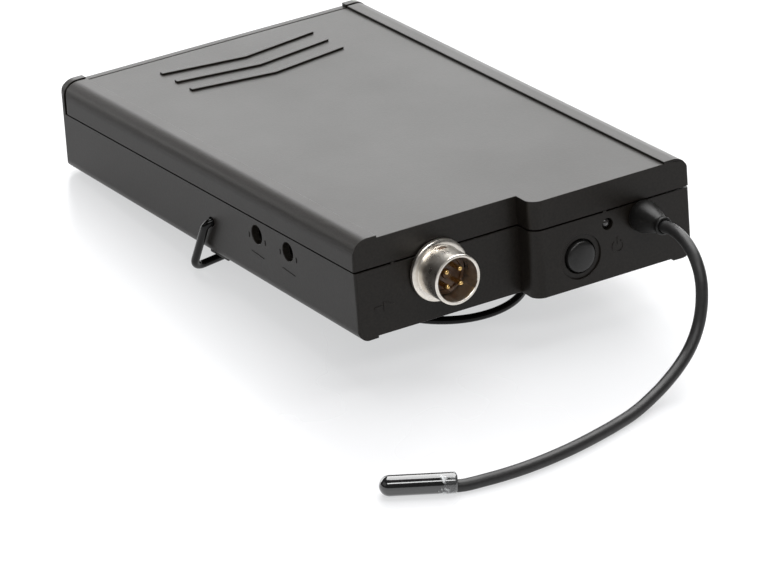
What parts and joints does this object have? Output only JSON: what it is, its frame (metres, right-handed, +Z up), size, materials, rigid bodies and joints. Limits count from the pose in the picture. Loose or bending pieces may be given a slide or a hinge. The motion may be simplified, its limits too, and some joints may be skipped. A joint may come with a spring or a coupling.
{
  "type": "wireless guitar transmitter",
  "caption": "Body-worn wireless guitar transmitter with a locking instrument socket, rubber whip antenna, wire belt clip and lift-off cover.",
  "frame": {"origin": "on the table, under the middle of the object's box without the antenna whip", "axes": "+Z up off the table, +Y from the socket end to the far end, +X to the power button and antenna side"},
  "size_m": [0.0849, 0.1452, 0.0282],
  "materials": {
    "case_plastic": "fine moulded texture, satin black",
    "button_plastic": "satin dark grey",
    "inner_plastic": "plain moulded black",
    "nickel_plate": "satin nickel plate",
    "socket_insert": "dark brown moulding",
    "gold_plate": "gold flash",
    "led_lens": "clear smoked lens",
    "soft_rubber": "smooth soft rubber",
    "gloss_cap": "glossy black moulding",
    "brass_turned": "turned brass",
    "board_laminate": "green solder mask",
    "tinned_can": "tinned sheet",
    "chip_epoxy": "moulded epoxy",
    "clip_wire": "glossy black coated spring wire",
    "trimmer_plastic": "off-white moulding",
    "cell_jacket": "printed film sleeve",
    "spring_steel": "nickel plated steel",
    "capacitor_sleeve": "shrunk film sleeve",
    "red_insulation": "red wire insulation",
    "black_insulation": "black wire insulation"
  },
  "bodies": {
    "case": {"rear_shell": "case_plastic", "connector_shell": "nickel_plate", "connector_insert": "socket_insert", "connector_pin_1": "gold_plate", "connector_pin_2": "gold_plate", "connector_pin_3": "gold_plate", "connector_pin_4": "gold_plate", "connector_nut": "nickel_plate", "tact_switch": "inner_plastic", "status_led": "led_lens", "antenna_boot": "soft_rubber", "antenna_base": "brass_turned", "main_board": "board_laminate", "board_screw_1": "spring_steel", "board_screw_2": "spring_steel", "board_screw_3": "spring_steel", "shield_can": "tinned_can", "audio_chip": "chip_epoxy", "crystal": "tinned_can", "tuning_coil_1": "tinned_can", "tuning_coil_2": "tinned_can", "capacitor_1": "capacitor_sleeve", "capacitor_2": "capacitor_sleeve", "capacitor_3": "capacitor_sleeve", "gain_trimmer": "trimmer_plastic", "level_trimmer": "trimmer_plastic", "battery_cradle": "inner_plastic", "battery_1": "cell_jacket", "battery_2": "cell_jacket", "contact_plus": "spring_steel", "contact_minus": "spring_steel", "contact_link": "spring_steel", "battery_spring_1": "spring_steel", "battery_spring_2": "spring_steel", "battery_lead_plus": "red_insulation", "battery_lead_minus": "black_insulation", "antenna_whip": "soft_rubber", "antenna_tip": "gloss_cap"},
    "cover": {"front_cover": "case_plastic"},
    "clip": {"wire_clip": "clip_wire"},
    "button": {"power_button": "button_plastic"},
    "plunger": {"tact_plunger": "inner_plastic"},
    "gain_wheel": {"gain_rotor": "trimmer_plastic"},
    "level_wheel": {"level_rotor": "trimmer_plastic"}
  },
  "joints": [
    {"name": "cover_lift", "type": "slide", "parent": "case", "child": "cover", "axis": [0, 0.0995, 0.995], "range_m": [0, 0.03]},
    {"name": "clip_swing", "type": "hinge", "parent": "case", "child": "clip", "pos_m": [0, 0.00311, 0.01175], "axis": [1, 0, 0], "range_deg": [-8, 18]},
    {"name": "power_press", "type": "slide", "parent": "case", "child": "button", "axis": [0, 0.995, -0.0995], "range_m": [0, 0.0005], "stiffness_N_per_m": 1500},
    {"name": "plunger_press", "type": "slide", "parent": "case", "child": "plunger", "axis": [0, 0.995, -0.0995], "range_m": [0, 0.0005]},
    {"name": "gain_turn", "type": "hinge", "parent": "case", "child": "gain_wheel", "pos_m": [-0.0305, -0.02302, 0.01682], "axis": [1, 0, 0], "range_deg": [-130, 130]},
    {"name": "level_turn", "type": "hinge", "parent": "case", "child": "level_wheel", "pos_m": [-0.0305, -0.01257, 0.01578], "axis": [1, 0, 0], "range_deg": [-130, 130]}
  ],
  "couplings": [
    {"joint": "plunger_press", "follows": "power_press", "ratio": 1}
  ]
}
